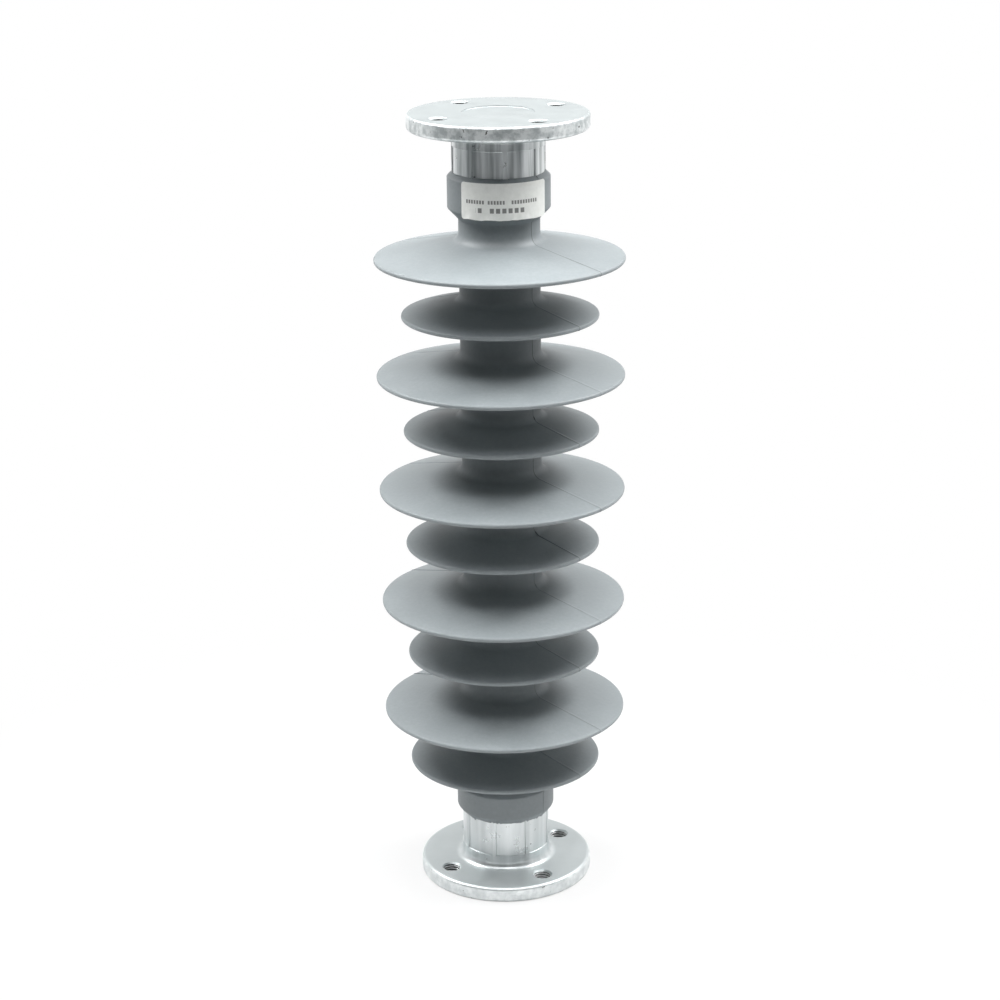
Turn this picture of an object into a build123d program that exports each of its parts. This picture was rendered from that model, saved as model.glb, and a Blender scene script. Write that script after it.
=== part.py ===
from build123d import *
import os
from math import cos, floor, radians, sin, tan

# Composite post insulator, standing on its lower flange.
# A glass-fibre core rod is crimped into two forged steel flange fittings, and a
# silicone rubber housing with alternating sheds is moulded over the rod and the
# inner ends of both hubs. All sizes are in millimetres. Z is the axis and runs
# up from the centre of the lower mounting face. The flange bolts stand at 45
# degrees to the X and Y axes.

# Whole insulator
structure_height = 500.0  # from one mounting face to the other

# Core rod
rod_diameter = 38.0
rod_end_gap = 1.0  # play between the rod's end and the floor of its socket

# Flange fittings
bolt_circle = 85.0
bolt_count = 4
bolt_drill = 10.2  # tapping drill of the M12 threads
bolt_countersink = 1.2  # depth and width of the countersink at both mouths
flange_edge_distance = 13.0  # bolt axis to the flange's rim
flange_thickness = 10.0
flange_face_round = 2.0  # rim edge on the mounting face
face_recess_diameter = 44.0
face_recess_depth = 0.8
hub_wall = 9.5
hub_length = 56.0  # mounting face to the open end of the hub
hub_root_round = 5.0
hub_mouth_chamfer = 1.0
socket_floor = 12.0  # mounting face to the floor of the rod's socket

# Crimp marks: eight jaws press the hub wall in and leave a rib between them
jaw_count = 8
jaw_depth = 0.5
jaw_gap = 3.6  # width of the ribs
crimp_start = 19.0  # from the mounting face
crimp_length = 30.0
bottom_crimp_turn = -4.5  # degrees from X to the first rib
top_crimp_turn = 19.5

# Silicone housing
sheath_wall = 6.0
collar_wall = 3.0
collar_bevel_length = 6.8  # axial length of the bevel from collar to shank
top_bare_hub = 35.6  # mounting face to the edge of the collar
bottom_bare_hub = 42.4
top_collar_edge = 2.9  # axial length of the chamfer at the collar's edge
bottom_collar_edge = 4.2
top_collar_overrun = 1.5  # how far the collar's full width runs past the hub
bottom_collar_overrun = 5.4
collar_round = 1.5  # at both ends of the collar's bevel

# Sheds: every pitch holds one large shed with one small shed below it
shed_pitch = 73.75
small_shed_drop = 35.63  # large rim to the small rim below it
top_rim_distance = 89.3  # upper mounting face to the first large rim
bottom_rim_distance = 78.0  # least distance from the last rim to the lower face
shed_rim_thickness = 3.0
large_shed_overhang = 52.2  # from the shank to the rim
large_shed_slope = 11.5  # degrees, upper side
small_shed_overhang = 36.1
small_shed_slope = 13.5
shed_under_slope = 6.0  # degrees, under side
shed_under_root = 4.0

# Label round the top collar
label_thickness = 0.25
label_height = 22.3
label_arc = 105.0  # degrees round the collar
label_middle = -71.0  # degrees from X to the middle of the label
label_edge_drop = 37.7  # upper mounting face to the label's upper edge
label_corner = 2.0

cut_margin = 1.0  # how far a cutter reaches past the surface that it cuts
near = 0.01  # tolerance for picking points and edges by their place or size

rod_radius = rod_diameter / 2
hub_radius = rod_radius + hub_wall
flange_radius = bolt_circle / 2 + flange_edge_distance
shank_radius = rod_radius + sheath_wall
collar_radius = hub_radius + collar_wall

bottom_face = Plane.XY
top_face = Plane(origin=(0, 0, structure_height), x_dir=(1, 0, 0), z_dir=(0, 0, -1))


def flange_fitting(face, crimp_turn):
    """Steel fitting that stands on the plane face, with its hub along the plane's normal."""
    side = Plane(origin=face.origin, x_dir=face.x_dir, z_dir=-face.y_dir)
    with BuildPart() as fitting:
        with BuildSketch(side) as section:
            with BuildLine():
                Polyline(
                    (0, face_recess_depth),
                    (face_recess_diameter / 2, face_recess_depth),
                    (face_recess_diameter / 2, 0),
                    (flange_radius, 0),
                    (flange_radius, flange_thickness),
                    (hub_radius, flange_thickness),
                    (hub_radius, hub_length),
                    (rod_radius, hub_length),
                    (rod_radius, socket_floor),
                    (0, socket_floor),
                    close=True,
                )
            make_face()
            face_corner = section.vertices().sort_by_distance((flange_radius, 0))[0]
            fillet(face_corner, flange_face_round)
            hub_root = section.vertices().sort_by_distance((hub_radius, flange_thickness))[0]
            fillet(hub_root, hub_root_round)
            mouth = section.vertices().group_by(Axis.Y)[-1]
            chamfer(mouth, hub_mouth_chamfer)
        revolve(axis=Axis(face.origin, face.z_dir))

        # Crimp marks: a shallow ring is cut away between the ribs
        with BuildSketch(face.offset(crimp_start)):
            Circle(hub_radius + cut_margin)
            Circle(hub_radius - jaw_depth, mode=Mode.SUBTRACT)
            rib_angle = crimp_turn if face.z_dir.Z > 0 else -crimp_turn
            with PolarLocations(hub_radius, jaw_count, start_angle=rib_angle):
                Rectangle(2 * (jaw_depth + cut_margin), jaw_gap, mode=Mode.SUBTRACT)
        extrude(amount=crimp_length, mode=Mode.SUBTRACT)

        # Tapped holes, countersunk at both mouths
        with BuildSketch(face):
            with PolarLocations(bolt_circle / 2, bolt_count, start_angle=180 / bolt_count):
                Circle(bolt_drill / 2)
        extrude(amount=flange_thickness, mode=Mode.SUBTRACT)
        mouths = fitting.edges().filter_by(GeomType.CIRCLE)
        mouths = mouths.filter_by(lambda edge: abs(edge.radius - bolt_drill / 2) < near)
        chamfer(mouths, bolt_countersink)
    return fitting.part


bottom_fitting = flange_fitting(bottom_face, bottom_crimp_turn)
top_fitting = flange_fitting(top_face, top_crimp_turn)

with BuildPart() as core_rod:
    with BuildSketch(Plane.XY.offset(socket_floor + rod_end_gap)):
        Circle(rod_radius)
    extrude(amount=structure_height - 2 * (socket_floor + rod_end_gap))


def shed_section(overhang, rim_height, slope):
    """Half-section of one shed: it tapers outwards and droops to a fully rounded rim."""
    rim_radius = shed_rim_thickness / 2
    rim_centre = shank_radius + overhang - rim_radius
    rise, under = radians(slope), radians(shed_under_slope)
    root = shank_radius - sheath_wall / 2
    upper_rim = (rim_centre + rim_radius * sin(rise), rim_height + rim_radius * cos(rise))
    lower_rim = (rim_centre - rim_radius * sin(under), rim_height - rim_radius * cos(under))
    upper_root = (root, upper_rim[1] + (upper_rim[0] - root) * tan(rise))
    lower_root = (root, lower_rim[1] + (lower_rim[0] - root) * tan(under))
    with BuildSketch() as shed:
        with BuildLine():
            Line(upper_root, upper_rim)
            ThreePointArc(upper_rim, (rim_centre + rim_radius, rim_height), lower_rim)
            Line(lower_rim, lower_root)
            Line(lower_root, upper_root)
        make_face()
    return shed.sketch


top_rim = structure_height - top_rim_distance
rim_room = top_rim - small_shed_drop - bottom_rim_distance
large_rims = [top_rim - shed_pitch * k for k in range(floor(rim_room / shed_pitch) + 1)]
small_rims = [height - small_shed_drop for height in large_rims]

bottom_edge = bottom_bare_hub
bottom_full = bottom_edge + bottom_collar_edge
bottom_bevel = hub_length + bottom_collar_overrun
top_edge = structure_height - top_bare_hub
top_full = top_edge - top_collar_edge
top_bevel = structure_height - hub_length - top_collar_overrun

with BuildPart() as silicone_housing:
    with BuildSketch(Plane.XZ) as section:
        with BuildLine():
            Polyline(
                (rod_radius, bottom_edge),
                (hub_radius, bottom_edge),
                (collar_radius, bottom_full),
                (collar_radius, bottom_bevel),
                (shank_radius, bottom_bevel + collar_bevel_length),
                (shank_radius, top_bevel - collar_bevel_length),
                (collar_radius, top_bevel),
                (collar_radius, top_full),
                (hub_radius, top_edge),
                (rod_radius, top_edge),
                close=True,
            )
        make_face()
        bevels = section.vertices().filter_by_position(Axis.Y, bottom_full + near, top_full - near)
        fillet(bevels, collar_round)
        for rim_height in large_rims:
            add(shed_section(large_shed_overhang, rim_height, large_shed_slope))
        for rim_height in small_rims:
            add(shed_section(small_shed_overhang, rim_height, small_shed_slope))

        # Each shed is rounded into the shank on its under side
        for rim_height in large_rims + small_rims:
            shank = section.vertices().filter_by_position(
                Axis.X, shank_radius - near, shank_radius + near
            )
            roots = shank.filter_by_position(
                Axis.Y, rim_height, rim_height + small_shed_drop / 2
            ).sort_by(Axis.Y)
            fillet(roots[0], shed_under_root)
    revolve(axis=Axis.Z)
    # The rubber is moulded against the rod and over the crimped hubs
    add(core_rod.part, mode=Mode.SUBTRACT)
    add(bottom_fitting, mode=Mode.SUBTRACT)
    add(top_fitting, mode=Mode.SUBTRACT)

with BuildPart() as collar_label:
    with BuildSketch(Plane.XY.offset(structure_height - label_edge_drop - label_height)):
        with BuildLine():
            outside = CenterArc(
                (0, 0), collar_radius + label_thickness, label_middle - label_arc / 2, label_arc
            )
            inside = CenterArc((0, 0), collar_radius, label_middle - label_arc / 2, label_arc)
            Line(outside @ 0, inside @ 0)
            Line(outside @ 1, inside @ 1)
        make_face()
    extrude(amount=label_height)
    corners = collar_label.edges().filter_by(GeomType.LINE).filter_by(
        lambda edge: abs(edge.length - label_thickness) < near
    )
    fillet(corners, label_corner)

os.makedirs("parts", exist_ok=True)
bottom_fitting.label = "bottom_flange_fitting"
top_fitting.label = "top_flange_fitting"
core_rod.part.label = "core_rod"
silicone_housing.part.label = "silicone_housing"
collar_label.part.label = "collar_label"
export_step(bottom_fitting, "parts/bottom_flange_fitting.step")
export_step(top_fitting, "parts/top_flange_fitting.step")
export_step(core_rod.part, "parts/core_rod.step")
export_step(silicone_housing.part, "parts/silicone_housing.step")
export_step(collar_label.part, "parts/collar_label.step")
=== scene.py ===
import math

import bmesh
import bpy
from mathutils import Matrix, Vector, noise


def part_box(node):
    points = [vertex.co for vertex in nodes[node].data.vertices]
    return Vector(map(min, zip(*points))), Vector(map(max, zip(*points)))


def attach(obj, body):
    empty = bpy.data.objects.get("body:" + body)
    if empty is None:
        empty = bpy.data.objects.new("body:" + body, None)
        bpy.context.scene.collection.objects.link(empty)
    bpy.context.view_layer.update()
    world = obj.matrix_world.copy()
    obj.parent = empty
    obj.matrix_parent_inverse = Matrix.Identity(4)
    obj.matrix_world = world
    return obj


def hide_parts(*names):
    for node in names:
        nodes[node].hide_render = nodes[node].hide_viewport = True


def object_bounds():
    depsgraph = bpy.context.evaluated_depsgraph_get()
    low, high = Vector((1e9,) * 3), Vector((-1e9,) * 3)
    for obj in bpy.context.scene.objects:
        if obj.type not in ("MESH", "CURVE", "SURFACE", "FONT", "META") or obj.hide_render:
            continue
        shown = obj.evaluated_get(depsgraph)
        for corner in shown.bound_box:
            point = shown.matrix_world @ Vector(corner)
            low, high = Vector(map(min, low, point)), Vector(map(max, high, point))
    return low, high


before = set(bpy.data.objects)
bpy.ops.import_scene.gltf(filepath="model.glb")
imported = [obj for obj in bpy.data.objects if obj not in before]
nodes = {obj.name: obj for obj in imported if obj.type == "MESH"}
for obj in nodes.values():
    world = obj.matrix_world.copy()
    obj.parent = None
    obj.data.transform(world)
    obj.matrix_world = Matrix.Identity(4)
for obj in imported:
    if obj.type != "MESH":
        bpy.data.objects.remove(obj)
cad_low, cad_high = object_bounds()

MM = 0.001


# ---- Core rod ----
# A pultruded rod of glass fibres in epoxy resin, ground to size. Both ends sit in
# the steel hubs, so none of it shows. The solid keeps its form and gets its finish:
# fine fibres that run from end to end.

def new_finish(name, roughness, metallic=0.0):
    """A node material with its shader ready. Returns the material, its node tree and the shader."""
    finish = bpy.data.materials.new(name)
    finish.use_nodes = True
    tree = finish.node_tree
    shader = tree.nodes["Principled BSDF"]
    shader.inputs["Roughness"].default_value = roughness
    shader.inputs["Metallic"].default_value = metallic
    return finish, tree, shader


def add_noise(tree, place, scale, detail=4.0, roughness=0.5):
    """A noise pattern over a place vector, in repeats per metre. Returns its value from 0 to 1."""
    pattern = tree.nodes.new("ShaderNodeTexNoise")
    pattern.inputs["Scale"].default_value = scale
    pattern.inputs["Detail"].default_value = detail
    pattern.inputs["Roughness"].default_value = roughness
    tree.links.new(place, pattern.inputs["Vector"])
    return pattern.outputs["Fac"]


def add_ramp(tree, factor, stops):
    """Colours looked up by factor, from stops of (position, (red, green, blue))."""
    ramp = tree.nodes.new("ShaderNodeValToRGB")
    while len(ramp.color_ramp.elements) < len(stops):
        ramp.color_ramp.elements.new(0.5)
    for element, (position, colour) in zip(ramp.color_ramp.elements, stops):
        element.position = position
        element.color = (*colour, 1)
    tree.links.new(factor, ramp.inputs["Fac"])
    return ramp.outputs["Color"]


def add_bump(tree, shader, height, distance):
    """Puts a bump on the shader: height 1 stands that distance above height 0."""
    bump = tree.nodes.new("ShaderNodeBump")
    bump.inputs["Distance"].default_value = distance
    tree.links.new(height, bump.inputs["Height"])
    tree.links.new(bump.outputs["Normal"], shader.inputs["Normal"])


def object_place(tree):
    """The point on the piece, in metres in the row's frame."""
    return tree.nodes.new("ShaderNodeTexCoord").outputs["Object"]


def stretched(tree, place, scale):
    """The place vector with each axis scaled, so that a pattern runs along the least of them."""
    mapping = tree.nodes.new("ShaderNodeMapping")
    mapping.inputs["Scale"].default_value = scale
    tree.links.new(place, mapping.inputs["Vector"])
    return mapping.outputs["Vector"]


rod_finish, tree, shader = new_finish("glass_fibre_rod", roughness=0.45)
fibres = add_noise(tree, stretched(tree, object_place(tree), (1, 1, 0.02)), scale=1400)
tree.links.new(
    add_ramp(tree, fibres, [(0.3, (0.36, 0.40, 0.20)), (0.7, (0.60, 0.62, 0.38))]),
    shader.inputs["Base Color"],
)
add_bump(tree, shader, fibres, distance=0.05 * MM)
nodes["core_rod"].data.materials.clear()
nodes["core_rod"].data.materials.append(rod_finish)


# ---- Flange fittings ----
# Two forged steel fittings, flange and hub in one piece, tapped M12 and zinc coated.
# They are lathed, the panels of the eight crimping jaws are pressed in by inset, and
# the holes are cut with screws that have 60 degree flanks and a sharp crest.

flange_radius = 55.5 * MM
flange_thickness = 10 * MM
flange_back_round = 2.5 * MM
flange_face_round = 2.0 * MM
recess_radius = 22 * MM
recess_depth = 0.8 * MM
recess_round = 0.75 * MM
hub_radius = 28.5 * MM
hub_length = 56 * MM
hub_root_round = 5 * MM
rod_radius = 19 * MM
socket_floor = 12 * MM

jaws = 8
jaw_steps = 24  # lathe steps from one rib to the next
rib_steps = 2  # lathe steps that a rib takes
crimp_start = 19 * MM
crimp_end = 49 * MM
crimp_depth = 0.5 * MM
crimp_lip = 0.1 * MM
crimp_slope = 0.35 * MM

bolt_circle_radius = 42.5 * MM
thread_core = 5.1 * MM
thread_crest = 6.0 * MM
thread_pitch = 1.75 * MM
countersink = 1.2 * MM
cutter_overrun = 2 * MM
bolt_turns = (45, 135, 225, 315)  # degrees from +X

sharp_edge = math.radians(40)  # edges that turn more than this stay sharp
fitting_sharp_edge = math.radians(28)
same_point = 0.001 * MM  # points closer than this, to each other or to a cut, are one


def add_math(tree, operation, first, second=None):
    """One step of arithmetic. Each input is a socket or a number."""
    step = tree.nodes.new("ShaderNodeMath")
    step.operation = operation
    for socket, value in zip(step.inputs, (first, second)):
        if isinstance(value, bpy.types.NodeSocket):
            tree.links.new(value, socket)
        elif value is not None:
            socket.default_value = value
    return step.outputs["Value"]


def add_range(tree, value, low, high, to_low=0.0, to_high=1.0, smooth=False):
    """Maps value from low..high to to_low..to_high, and holds it at the ends."""
    span = tree.nodes.new("ShaderNodeMapRange")
    span.interpolation_type = "SMOOTHSTEP" if smooth else "LINEAR"
    for name, number in (("From Min", low), ("From Max", high), ("To Min", to_low), ("To Max", to_high)):
        span.inputs[name].default_value = number
    tree.links.new(value, span.inputs["Value"])
    return span.outputs["Result"]


def add_mix(tree, factor, first, second):
    """Mixes two colours. Each is a socket or (red, green, blue)."""
    mix = tree.nodes.new("ShaderNodeMix")
    mix.data_type = "RGBA"
    tree.links.new(factor, mix.inputs["Factor"])
    for name, colour in (("A", first), ("B", second)):
        socket = next(s for s in mix.inputs if s.name == name and s.type == "RGBA")
        if isinstance(colour, bpy.types.NodeSocket):
            tree.links.new(colour, socket)
        else:
            socket.default_value = (*colour, 1)
    return next(s for s in mix.outputs if s.type == "RGBA")


def add_vector_math(tree, operation, first, second=None):
    """One step of vector arithmetic. Returns the number or the vector that it gives."""
    step = tree.nodes.new("ShaderNodeVectorMath")
    step.operation = operation
    tree.links.new(first, step.inputs[0])
    if second:
        step.inputs[1].default_value = second
    return step.outputs["Vector" if operation == "ABSOLUTE" else "Value"]


def lathe(outline, rounds, steps, ring=False):
    """Turns a half-section into a closed solid.

    outline has (radius, height) points, and starts and ends on the axis unless it is a ring.
    rounds has (number of the point, radius, segments) for each corner that is rounded.
    """
    mesh = bmesh.new()
    points = [mesh.verts.new((radius, 0, height)) for radius, height in outline]
    for first, second in zip(points, points[1:]):
        mesh.edges.new((first, second))
    if ring:
        mesh.edges.new((points[-1], points[0]))
    for number, radius, segments in rounds:
        corner = points[number].co
        before = (corner - Vector((outline[number - 1][0], 0, outline[number - 1][1]))).normalized()
        after_point = outline[(number + 1) % len(outline)]
        after = (Vector((after_point[0], 0, after_point[1])) - corner).normalized()
        bmesh.ops.bevel(
            mesh,
            geom=[points[number]],
            offset=radius * math.tan(before.angle(after) / 2),
            offset_type="OFFSET",
            segments=segments,
            profile=0.5,
            affect="VERTICES",
            material=-1,
        )
    bmesh.ops.spin(
        mesh,
        geom=mesh.verts[:] + mesh.edges[:],
        cent=(0, 0, 0),
        axis=(0, 0, 1),
        dvec=(0, 0, 0),
        angle=math.tau,
        steps=steps,
        use_merge=True,
        use_duplicate=False,
    )
    bmesh.ops.remove_doubles(mesh, verts=mesh.verts[:], dist=same_point)
    bmesh.ops.recalc_face_normals(mesh, faces=mesh.faces[:])
    return mesh


def finished_piece(name, mesh, finish):
    """Makes an object of a bmesh at the origin, smooth apart from its sharp edges."""
    data = bpy.data.meshes.new(name)
    mesh.to_mesh(data)
    mesh.free()
    piece = bpy.data.objects.new(name, data)
    bpy.context.scene.collection.objects.link(piece)
    if finish:
        data.materials.append(finish)
    data.shade_smooth()
    data.set_sharp_from_angle(angle=sharp_edge)
    return piece


def cut_away(piece, cutter):
    """Subtracts the cutter from the piece and deletes it."""
    step = piece.modifiers.new("cut", "BOOLEAN")
    step.operation = "DIFFERENCE"
    step.solver = "EXACT"
    step.object = cutter
    bpy.context.view_layer.update()
    evaluated = piece.evaluated_get(bpy.context.evaluated_depsgraph_get())
    cut = bpy.data.meshes.new_from_object(evaluated)
    piece.modifiers.clear()
    piece.data = cut
    bpy.data.objects.remove(cutter)


def at_bolts(mesh, geometry):
    """Moves geometry from the axis to the first bolt and copies it to the other three."""
    first = Vector((bolt_circle_radius, 0, 0))
    for turn in bolt_turns:
        copy = bmesh.ops.duplicate(mesh, geom=geometry)["geom"]
        verts = [v for v in copy if isinstance(v, bmesh.types.BMVert)]
        bolt = Matrix.Rotation(math.radians(turn), 3, "Z") @ first
        bmesh.ops.translate(mesh, vec=bolt, verts=verts)
    originals = [v for v in geometry if isinstance(v, bmesh.types.BMVert)]
    bmesh.ops.delete(mesh, geom=originals, context="VERTS")


def countersink_cutters():
    """Cones for both mouths of the four bolt holes."""
    mesh = bmesh.new()
    over = 0.5 * MM
    depth = countersink + over
    for height, up in ((0, -1), (flange_thickness, 1)):
        middle = height + up * (over - countersink) / 2
        narrow, wide = thread_core, thread_core + depth
        bmesh.ops.create_cone(
            mesh,
            cap_ends=True,
            segments=48,
            radius1=narrow if up > 0 else wide,
            radius2=wide if up > 0 else narrow,
            depth=depth,
            matrix=Matrix.Translation((0, 0, middle)),
        )
    at_bolts(mesh, mesh.verts[:] + mesh.edges[:] + mesh.faces[:])
    return finished_piece("countersinks", mesh, None)


def thread_cutters():
    """Four screws: a section with a crest each pitch, turned once while it rises by a pitch."""
    mesh = bmesh.new()
    steps = 32
    flat = 0.4 * thread_pitch
    crest = 0.7 * thread_pitch
    low, high = -cutter_overrun, flange_thickness + cutter_overrun
    section = []
    height = low - 2 * thread_pitch
    while height < high + thread_pitch:
        section.append(mesh.verts.new((thread_core, 0, height)))
        section.append(mesh.verts.new((thread_core, 0, height + flat)))
        section.append(mesh.verts.new((thread_crest, 0, height + crest)))
        height += thread_pitch
    for first, second in zip(section, section[1:]):
        mesh.edges.new((first, second))
    bmesh.ops.spin(
        mesh,
        geom=mesh.verts[:] + mesh.edges[:],
        cent=(0, 0, 0),
        axis=(0, 0, 1),
        dvec=(0, 0, thread_pitch / steps),
        angle=math.tau,
        steps=steps,
        use_merge=False,
        use_duplicate=False,
    )
    bmesh.ops.remove_doubles(mesh, verts=mesh.verts[:], dist=same_point)
    for height, outer in ((low, False), (high, True)):
        bmesh.ops.bisect_plane(
            mesh,
            geom=mesh.verts[:] + mesh.edges[:] + mesh.faces[:],
            dist=0.0001 * MM,
            plane_co=(0, 0, height),
            plane_no=(0, 0, 1),
            clear_outer=outer,
            clear_inner=not outer,
        )
        at_height = {v for v in mesh.verts if abs(v.co.z - height) < 0.01 * MM}
        rim = [e for e in mesh.edges if e.is_boundary and at_height.issuperset(e.verts)]
        bmesh.ops.contextual_create(mesh, geom=rim)
    bmesh.ops.recalc_face_normals(mesh, faces=mesh.faces[:])
    at_bolts(mesh, mesh.verts[:] + mesh.edges[:] + mesh.faces[:])
    return finished_piece("threads", mesh, None)


def press_panels(mesh):
    """The crimp: each jaw's panel is set in, with a low lip of pushed-up metal round it."""
    middle = (crimp_start + crimp_end) / 2
    half_length = (crimp_end - crimp_start) / 2
    panels = {}
    for face in mesh.faces:
        centre = face.calc_center_median()
        off_hub = abs(centre.xy.length - hub_radius) > 0.1 * MM
        if off_hub or abs(centre.z - middle) > half_length:
            continue
        step = int(math.degrees(math.atan2(centre.y, centre.x)) % 360 / 360 * jaws * jaw_steps)
        jaw, step_in_jaw = divmod(step, jaw_steps)
        if rib_steps / 2 <= step_in_jaw < jaw_steps - rib_steps / 2:
            panels.setdefault(jaw, []).append(face)
    for faces in panels.values():
        for width, rise in ((crimp_slope, crimp_lip), (crimp_slope, -crimp_lip - crimp_depth)):
            bmesh.ops.inset_region(
                mesh,
                faces=faces,
                thickness=width,
                depth=rise,
                use_boundary=True,
                use_even_offset=True,
            )


def flange_fitting(name, crimp_turn, upside_down):
    """One fitting, lathed standing on its mounting face and then put in its place."""
    outline = [
        (0, recess_depth),
        (recess_radius, recess_depth),
        (recess_radius, 0),
        (flange_radius, 0),
        (flange_radius, flange_thickness),
        (hub_radius, flange_thickness),
        (hub_radius, crimp_start),
        (hub_radius, crimp_end),
        (hub_radius, hub_length),
        (rod_radius, hub_length),
        (rod_radius, socket_floor),
        (0, socket_floor),
    ]
    rounds = [
        (1, recess_round, 3),
        (2, recess_round, 3),
        (3, flange_face_round, 6),
        (4, flange_back_round, 6),
        (5, hub_root_round, 8),
    ]
    mesh = lathe(outline, rounds, steps=jaws * jaw_steps)
    press_panels(mesh)
    turn = math.radians(-crimp_turn if upside_down else crimp_turn)
    bmesh.ops.rotate(mesh, cent=(0, 0, 0), matrix=Matrix.Rotation(turn, 3, "Z"), verts=mesh.verts[:])
    piece = finished_piece(name, mesh, None)
    cut_away(piece, countersink_cutters())
    cut_away(piece, thread_cutters())
    if upside_down:
        hung = Matrix.Translation((0, 0, cad_high.z)) @ Matrix.Rotation(math.pi, 4, "X")
        piece.data.transform(hung)
    piece.data.materials.clear()
    piece.data.materials.append(zinc_finish)
    piece.data.shade_smooth()
    piece.data.set_sharp_from_angle(angle=fitting_sharp_edge)
    return piece


# Zinc: smooth on the faces and mottled on the flanges' rims, with painted reflection streaks along the hubs
zinc_finish, tree, shader = new_finish("zinc_coated_steel", roughness=0.35, metallic=0.7)
place = object_place(tree)
from_axis = add_vector_math(tree, "LENGTH", stretched(tree, place, (1, 1, 0)))
axes = tree.nodes.new("ShaderNodeSeparateXYZ")
tree.links.new(place, axes.inputs["Vector"])
mid_height = cad_high.z / 2
from_middle = add_math(tree, "ABSOLUTE", add_math(tree, "SUBTRACT", axes.outputs["Z"], mid_height))
flange_back = mid_height - flange_thickness  # from the middle of the insulator
on_rim = add_range(tree, from_axis, flange_radius - 1.2 * MM, flange_radius - 0.3 * MM)
on_hub = add_range(tree, from_middle, flange_back - 1 * MM, flange_back, 1, 0)
# 1 on the top fitting, which has its own copies of the tones: painted shade on its face, rim and threads,
# and stronger painted reflection streaks on its hub
top_painted_light = add_math(tree, "GREATER_THAN", axes.outputs["Z"], mid_height)
cloud = add_noise(tree, place, scale=70, detail=5, roughness=0.6)
grain = add_noise(tree, place, scale=1200, detail=3, roughness=0.6)
mottle = add_noise(tree, place, scale=190, detail=3, roughness=0.6)
streak = add_noise(tree, stretched(tree, place, (1, 1, 0.06)), scale=180, detail=3, roughness=0.5)
nicks = add_range(tree, add_noise(tree, place, scale=300, detail=2), 0.71, 0.74)
# Smooth zinc on the faces; the top fitting's copy is painted darker, as painted shade
smooth_tone_and_painted_shade = add_mix(
    tree,
    top_painted_light,
    add_ramp(tree, cloud, [(0.3, (0.45, 0.485, 0.49)), (0.7, (0.50, 0.535, 0.54))]),
    add_ramp(tree, cloud, [(0.3, (0.315, 0.342, 0.345)), (0.7, (0.345, 0.372, 0.375))]),
)
# Painted reflection: light and dark streaks drawn along the hubs, with more contrast on the top hub
painted_reflection_streaks = add_mix(
    tree,
    top_painted_light,
    add_ramp(tree, streak, [(0.34, (0.54, 0.575, 0.58)), (0.66, (0.68, 0.71, 0.715))]),
    add_ramp(tree, streak, [(0.38, (0.32, 0.35, 0.355)), (0.62, (0.82, 0.85, 0.855))]),
)
# Mottled zinc on the rims, with dark nicks; the top fitting's copy is painted darker, as painted shade
rim_mottle_and_painted_shade = add_mix(
    tree,
    top_painted_light,
    add_ramp(tree, mottle, [(0.36, (0.60, 0.635, 0.64)), (0.64, (0.78, 0.81, 0.81))]),
    add_ramp(tree, mottle, [(0.38, (0.42, 0.455, 0.46)), (0.62, (0.74, 0.77, 0.77))]),
)
rim_mottle_and_painted_shade = add_mix(tree, nicks, rim_mottle_and_painted_shade, (0.10, 0.10, 0.10))
colour = add_mix(tree, on_rim, add_mix(tree, on_hub, smooth_tone_and_painted_shade, painted_reflection_streaks), rim_mottle_and_painted_shade)
bolt_place = add_vector_math(tree, "ABSOLUTE", stretched(tree, place, (1, 1, 0)))
bolt_offset = bolt_circle_radius / math.sqrt(2)
from_bolt = add_vector_math(tree, "DISTANCE", bolt_place, (bolt_offset, bolt_offset, 0))
mid_flange = mid_height - flange_thickness / 2
from_mid_flange = add_math(tree, "ABSOLUTE", add_math(tree, "SUBTRACT", from_middle, mid_flange))
# Painted light in the tapped holes: a painted highlight on the thread crests and painted shade down in the
# roots; in the top fitting the threads are painted dark all through, as painted shade
painted_thread_light = add_ramp(
    tree,
    add_range(tree, from_bolt, thread_core, thread_crest),
    [(0.15, (0.75, 0.76, 0.765)), (0.45, (0.06, 0.062, 0.065))],
)
painted_thread_light = add_mix(tree, top_painted_light, painted_thread_light, (0.07, 0.072, 0.075))
in_thread = add_math(
    tree,
    "MULTIPLY",
    add_math(tree, "LESS_THAN", from_bolt, thread_crest + 0.2 * MM),
    add_math(tree, "LESS_THAN", from_mid_flange, flange_thickness / 2 - countersink + 0.1 * MM),
)
tree.links.new(add_mix(tree, in_thread, colour, painted_thread_light), shader.inputs["Base Color"])
face_rough, hub_rough, rim_rough = ((value, value, value) for value in (0.46, 0.30, 0.36))
rough = add_mix(tree, on_rim, add_mix(tree, on_hub, face_rough, hub_rough), rim_rough)
uneven = add_range(tree, cloud, 0.3, 0.7, -0.04, 0.04)
tree.links.new(add_math(tree, "ADD", rough, uneven), shader.inputs["Roughness"])
relief = add_math(tree, "ADD", grain, add_math(tree, "MULTIPLY", mottle, on_rim))
add_bump(tree, shader, relief, distance=0.04 * MM)

for name, crimp_turn, upside_down in (
    ("bottom_flange_fitting", -4.5, False),
    ("top_flange_fitting", 19.5, True),
):
    fitting = flange_fitting("forged_" + name, crimp_turn, upside_down)
    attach(fitting, "root")
    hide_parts(name)


# ---- Silicone housing ----
# One piece of grey silicone rubber, moulded over the rod and the inner ends of both
# hubs, with five large and five small sheds. It is a lathed ring. The mould's parting
# plane leaves a fine raised line down both sides, with scraps of flash on it.

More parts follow.
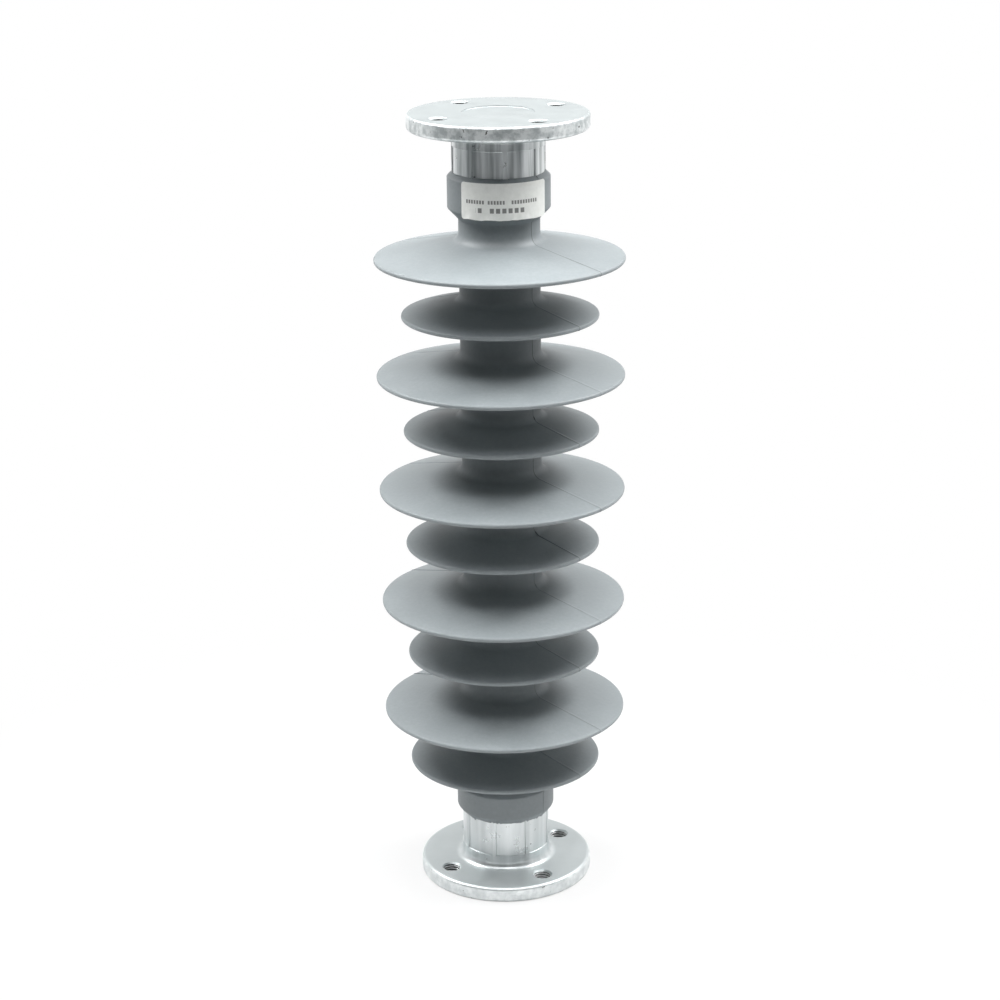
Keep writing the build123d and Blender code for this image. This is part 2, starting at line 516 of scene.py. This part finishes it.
shank_radius = 25 * MM
collar_radius = 31.5 * MM
collar_bore = hub_radius - crimp_depth - 0.1 * MM
housing_low, housing_high = (corner.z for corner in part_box("silicone_housing"))
bottom_edge, bottom_straight = 4.2 * MM, 61.4 * MM
top_edge, top_straight = 2.9 * MM, 442.5 * MM
collar_bevel = 6.8 * MM
collar_round = 1.5 * MM
bottom_edge_round, top_edge_round = 2.5 * MM, 0.8 * MM
bottom_ragged, bottom_lift = 1.2 * MM, 0.5 * MM
top_ragged, top_drop = 0.25 * MM, 0.1 * MM

shed_pitch = 73.75 * MM
first_rim = 410.7 * MM
small_drop = 35.63 * MM
rim_thickness = 3 * MM
rim_round = 1.4 * MM
large_reach, large_slope, large_root = 77.1 * MM, 11.5, 6 * MM
small_reach, small_slope, small_root = 61.1 * MM, 13.5, 5.5 * MM
under_slope, under_root = 6.0, 4 * MM

parting_turn = -27.0  # degrees from +X
parting_half_width = 0.16 * MM
parting_height = 0.09 * MM
parting_shade = (0.10 * MM, 0.36 * MM)  # its painted shade is full within the first, gone past the second
flash_height = 1.3 * MM
flash_size = 5 * MM
flash_least = 0.25  # noise below this leaves no flash


def shed_corners(reach, height, slope):
    """Four corners of a shed's half-section, from its lower root round the rim to its upper root."""
    half = rim_thickness / 2
    out = reach - shank_radius
    upper = height + half - half * math.tan(math.radians(slope))
    lower = height - half - half * math.tan(math.radians(under_slope))
    return [
        (shank_radius, lower + out * math.tan(math.radians(under_slope))),
        (reach, lower),
        (reach, upper),
        (shank_radius, upper + out * math.tan(math.radians(slope))),
    ]


outline = [
    (collar_bore, housing_low),
    (hub_radius, housing_low),
    (collar_radius, housing_low + bottom_edge),
    (collar_radius, bottom_straight),
    (shank_radius, bottom_straight + collar_bevel),
]
rounds = [(2, bottom_edge_round, 4), (3, collar_round, 4), (4, collar_round, 4)]
for pair in reversed(range(5)):
    rim = first_rim - pair * shed_pitch
    for reach, height, slope, root in (
        (small_reach, rim - small_drop, small_slope, small_root),
        (large_reach, rim, large_slope, large_root),
    ):
        number = len(outline)
        outline += shed_corners(reach, height, slope)
        rounds += [
            (number, under_root, 5),
            (number + 1, rim_round, 5),
            (number + 2, rim_round, 5),
            (number + 3, root, 8),
        ]
number = len(outline)
outline += [
    (shank_radius, top_straight - collar_bevel),
    (collar_radius, top_straight),
    (collar_radius, housing_high - top_edge),
    (hub_radius, housing_high),
    (collar_bore, housing_high),
    (collar_bore, cad_high.z - hub_length),
    (rod_radius, cad_high.z - hub_length),
    (rod_radius, hub_length),
    (collar_bore, hub_length),
]
rounds += [(number, collar_round, 4), (number + 1, collar_round, 4), (number + 2, top_edge_round, 3)]
mesh = lathe(outline, rounds, steps=180, ring=True)
parting = Matrix.Rotation(math.radians(parting_turn), 3, "Z")
bmesh.ops.rotate(mesh, cent=(0, 0, 0), matrix=parting, verts=mesh.verts[:])

# The parting line: one cut on each side of the mould's parting plane, and the points on
# the plane lifted off the surface, more where a scrap of flash is left
parting_along = parting @ Vector((1, 0, 0))
parting_across = parting @ Vector((0, 1, 0))
for offset in (-parting_half_width, parting_half_width):
    bmesh.ops.bisect_plane(
        mesh,
        geom=mesh.verts[:] + mesh.edges[:] + mesh.faces[:],
        dist=same_point,
        plane_co=parting_across * offset,
        plane_no=parting_across,
    )
bmesh.ops.recalc_face_normals(mesh, faces=mesh.faces[:])
for vert in mesh.verts:
    radius = vert.co.xy.length
    hidden = radius < shank_radius - 0.1 * MM
    if hidden or abs(vert.co.dot(parting_across)) > 0.02 * MM:
        continue
    scrap = noise.noise(Vector((radius, vert.co.dot(parting_along), vert.co.z)) / flash_size)
    lift = parting_height + flash_height * max(0.0, scrap - flash_least)
    vert.co += vert.normal * lift

# The collars' edges: the rubber ran out a little unevenly over the steel
for vert in mesh.verts:
    angle = math.atan2(vert.co.y, vert.co.x)
    outside = vert.co.xy.length > collar_bore + 0.1 * MM
    if outside and vert.co.z < housing_low + 0.2 * MM:
        around = Vector((math.cos(angle), math.sin(angle), 0))
        ragged = noise.noise(around * 9) + 1.3 * noise.noise(around * 27)
        vert.co.z += bottom_ragged * ragged + bottom_lift
    if outside and vert.co.z > housing_high - 0.2 * MM:
        ragged = noise.noise(Vector((math.cos(angle), math.sin(angle), 5)) * 6)
        vert.co.z += top_ragged * ragged - top_drop

rubber_finish, tree, shader = new_finish("grey_silicone", roughness=0.5)
place = object_place(tree)
cloud = add_noise(tree, place, scale=28, detail=5, roughness=0.6)
speck = add_noise(tree, place, scale=420, detail=3, roughness=0.7)
tone = add_math(tree, "ADD", add_math(tree, "MULTIPLY", cloud, 0.6), add_math(tree, "MULTIPLY", speck, 0.4))
rubber_tones = [
    (0.35, (0.180, 0.202, 0.210)),
    (0.52, (0.200, 0.223, 0.232)),
    (0.68, (0.224, 0.248, 0.257)),
]
colour = add_ramp(tree, tone, rubber_tones)
# Painted shade along the parting line: the rubber is painted dark in a thin, patchy band on each side of
# the parting plane
distance = add_math(tree, "ABSOLUTE", add_vector_math(tree, "DOT_PRODUCT", place, parting_across))
line = add_range(tree, distance, *parting_shade, 1.0, 0.0, smooth=True)
patchy = add_range(tree, add_noise(tree, place, scale=60, detail=3), 0.35, 0.6, 0.25, 0.9)
colour = add_mix(tree, add_math(tree, "MULTIPLY", line, patchy), colour, (0.05, 0.06, 0.065))
tree.links.new(colour, shader.inputs["Base Color"])
tree.links.new(add_range(tree, cloud, 0.3, 0.7, 0.44, 0.60), shader.inputs["Roughness"])
add_bump(tree, shader, add_noise(tree, place, scale=1500, detail=3), distance=0.03 * MM)

housing = finished_piece("moulded_housing", mesh, rubber_finish)
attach(housing, "root")
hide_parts("silicone_housing")


# ---- Label ----
# A paper label stuck round the top collar. It is a flat sheet with rounded corners, cut
# into a grid and bent to the collar. Its lower edge stands clear of the collar's bevel
# and is a little crumpled. Plain bars stand for its print.

label_gap = 0.02 * MM
label_thickness = 0.2 * MM
label_middle = math.radians(-71.0)
label_arc = math.radians(105.0)
label_top = 462.3 * MM
label_height = 22.3 * MM
label_corner = 2 * MM
loose_start, loose_span = 0.55, 0.45  # of the way from the middle to the lower edge
crumple_out, crumple_up = 0.9 * MM, 0.6 * MM
crumple_width, crumple_rise = 4 * MM, 9 * MM
crumple_seed = 1.7

label_radius = collar_radius + label_gap
label_width = label_arc * label_radius
mesh = bmesh.new()
sheet = bmesh.ops.create_grid(
    mesh, x_segments=1, y_segments=1, size=0.5, matrix=Matrix.Diagonal((label_width, label_height, 1, 1))
)["verts"]
bmesh.ops.bevel(
    mesh,
    geom=sheet,
    offset=label_corner,
    offset_type="OFFSET",
    segments=6,
    profile=0.5,
    affect="VERTICES",
    material=-1,
)
for count, length, axis in ((72, label_width, 0), (20, label_height, 1)):
    normal = Vector((1, 0, 0)) if axis == 0 else Vector((0, 1, 0))
    for cut in range(1, count):
        bmesh.ops.bisect_plane(
            mesh,
            geom=mesh.verts[:] + mesh.edges[:] + mesh.faces[:],
            dist=same_point,
            plane_co=normal * (cut / count - 0.5) * length,
            plane_no=normal,
        )
flat = mesh.loops.layers.uv.new("flat")
for face in mesh.faces:
    for loop in face.loops:
        loop[flat].uv = (loop.vert.co.x / label_width + 0.5, loop.vert.co.y / label_height + 0.5)
for vert in mesh.verts:
    along, up = vert.co.x, vert.co.y
    angle = label_middle + along / label_radius
    loose = max(0.0, -up / label_height * 2 - loose_start) / loose_span
    crumple = noise.noise(Vector((along / crumple_width, up / crumple_rise, crumple_seed)))
    radius = label_radius + crumple_out * loose * (crumple + 0.1)
    radius = max(radius, label_radius)
    height = label_top - label_height / 2 + up + crumple_up * loose * crumple
    vert.co = (radius * math.cos(angle), radius * math.sin(angle), height)
bmesh.ops.recalc_face_normals(mesh, faces=mesh.faces[:])
if sum(face.normal.dot(face.calc_center_median().xy.to_3d()) for face in mesh.faces) < 0:
    bmesh.ops.reverse_faces(mesh, faces=mesh.faces[:])
bmesh.ops.solidify(mesh, geom=mesh.faces[:], thickness=-label_thickness)

label_finish, tree, shader = new_finish("label_paper", roughness=0.55)
uv = tree.nodes.new("ShaderNodeUVMap")
uv.uv_map = "flat"
split = tree.nodes.new("ShaderNodeSeparateXYZ")
tree.links.new(uv.outputs["UV"], split.inputs["Vector"])
across, up = split.outputs["X"], split.outputs["Y"]


def print_row(left, right, low, high, letters, seed):
    """A row of small upright bars, as many as letters, with a gap here and there."""
    steps = add_math(tree, "MULTIPLY", across, letters / (right - left))
    whole = add_math(tree, "FLOOR", steps)
    part = add_math(tree, "FRACT", steps)
    from_mid_bar = add_math(tree, "ABSOLUTE", add_math(tree, "SUBTRACT", part, 0.5))
    bar = add_math(tree, "LESS_THAN", from_mid_bar, 0.33)
    chance = tree.nodes.new("ShaderNodeTexWhiteNoise")
    chance.noise_dimensions = "1D"
    tree.links.new(add_math(tree, "ADD", whole, seed), chance.inputs["W"])
    kept = add_math(tree, "GREATER_THAN", chance.outputs["Value"], 0.15)
    inside = add_math(tree, "MULTIPLY", bar, kept)
    for value, least, most in ((across, left, right), (up, low, high)):
        inside = add_math(tree, "MULTIPLY", inside, add_math(tree, "GREATER_THAN", value, least))
        inside = add_math(tree, "MULTIPLY", inside, add_math(tree, "LESS_THAN", value, most))
    return inside


fibre = add_noise(tree, object_place(tree), scale=300, detail=5, roughness=0.6)
paper = add_ramp(tree, fibre, [(0.3, (0.72, 0.73, 0.70)), (0.7, (0.80, 0.81, 0.78))])
ink = add_math(
    tree,
    "MAXIMUM",
    print_row(0.06, 0.86, 0.44, 0.54, 26, 3.5),
    print_row(0.18, 0.76, 0.20, 0.33, 9, 8.5),
)
printed = add_mix(tree, add_math(tree, "MULTIPLY", ink, 0.8), paper, (0.06, 0.06, 0.06))
tree.links.new(printed, shader.inputs["Base Color"])
add_bump(tree, shader, fibre, distance=0.03 * MM)

label = finished_piece("paper_label", mesh, label_finish)
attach(label, "root")
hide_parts("collar_label")


# ---- Studio ----
# A grey table top that the camera sees as white, so only the insulator's soft shadow shows
# on it. A softbox hangs overhead and one stands at each side, pale walls stand behind and
# beside, and the room is dark on the camera's side.

camera_turn = math.radians(11.5)
camera_distance, camera_height = 1.4536, 0.7409
camera_pan, camera_pitch, camera_roll = 0.057, 18.503, -0.661  # degrees
table_radius = 0.9
table_drop = 0.02 * MM  # keeps the table top clear of the lower mounting face
front = Vector((math.sin(camera_turn), -math.cos(camera_turn), 0))
side = Vector((math.cos(camera_turn), math.sin(camera_turn), 0))

mesh = bmesh.new()
bmesh.ops.create_circle(
    mesh,
    cap_ends=True,
    segments=96,
    radius=table_radius,
    matrix=Matrix.Translation((0, 0, -table_drop)),
)
floor_finish, tree, shader = new_finish("studio_table", roughness=0.9)
shader.inputs["Base Color"].default_value = (0.55, 0.55, 0.55, 1)
shader.inputs["Specular IOR Level"].default_value = 0
white = tree.nodes.new("ShaderNodeEmission")
white.inputs["Color"].default_value = (1, 1, 1, 1)
reach = add_vector_math(tree, "LENGTH", object_place(tree))
whiter = add_range(tree, reach, 0.12, 0.45, 0.66, 1.0, smooth=True)
floor_rays = tree.nodes.new("ShaderNodeLightPath")
blend = tree.nodes.new("ShaderNodeMixShader")
tree.links.new(add_math(tree, "MULTIPLY", floor_rays.outputs["Is Camera Ray"], whiter), blend.inputs["Fac"])
tree.links.new(shader.outputs["BSDF"], blend.inputs[1])
tree.links.new(white.outputs["Emission"], blend.inputs[2])
tree.links.new(blend.outputs["Shader"], tree.nodes["Material Output"].inputs["Surface"])
floor = finished_piece("studio_table", mesh, floor_finish)

world = bpy.data.worlds.new("studio_room")
bpy.context.scene.world = world
world.use_nodes = True
tree = world.node_tree
background = tree.nodes["Background"]
background.inputs["Strength"].default_value = 1.0
direction = tree.nodes.new("ShaderNodeTexCoord").outputs["Generated"]
facing = add_vector_math(tree, "DOT_PRODUCT", direction, (front - side * 0.2).normalized())
wall_tones = [
    (0.0, (1.0, 1.0, 1.0)),
    (0.45, (0.9, 0.9, 0.9)),
    (0.64, (0.40, 0.41, 0.42)),
    (0.82, (0.17, 0.175, 0.18)),
]
walls = add_ramp(tree, add_range(tree, facing, -1, 1), wall_tones)
room_rays = tree.nodes.new("ShaderNodeLightPath")
room = add_mix(tree, room_rays.outputs["Is Camera Ray"], walls, (1, 1, 1))
tree.links.new(room, background.inputs["Color"])

target = Vector((0, 0, 0.25))
for name, lamp_place, size, energy in (
    ("overhead_softbox", front * 0.36 + Vector((0, 0, 1.95)), 1.9, 54),
    ("left_softbox", -side * 1.1 - front * 0.3 + Vector((0, 0, 1.6)), 0.9, 27),
    ("right_softbox", side * 1.1 - front * 0.3 + Vector((0, 0, 1.6)), 0.9, 29),
):
    lamp_data = bpy.data.lights.new(name, "AREA")
    lamp_data.shape = "DISK"
    lamp_data.size = size
    lamp_data.energy = energy
    lamp = bpy.data.objects.new(name, lamp_data)
    lamp.location = lamp_place
    lamp.rotation_mode = "QUATERNION"
    lamp.rotation_quaternion = (target - lamp_place).to_track_quat("-Z", "Y")
    bpy.context.scene.collection.objects.link(lamp)

camera_data = bpy.data.cameras.new("camera")
camera_data.sensor_width = 36
camera_data.lens = 87.41
camera_data.clip_end = 50
camera = bpy.data.objects.new("camera", camera_data)
camera.location = front * camera_distance + Vector((0, 0, camera_height))
camera.rotation_mode = "QUATERNION"
camera.rotation_quaternion = (
    Matrix.Rotation(camera_turn + math.radians(camera_pan), 3, "Z")
    @ Matrix.Rotation(math.radians(90 - camera_pitch), 3, "X")
    @ Matrix.Rotation(math.radians(camera_roll), 3, "Z")
).to_quaternion()
bpy.context.scene.collection.objects.link(camera)
bpy.context.scene.camera = camera

bpy.context.scene.view_settings.view_transform = "Standard"
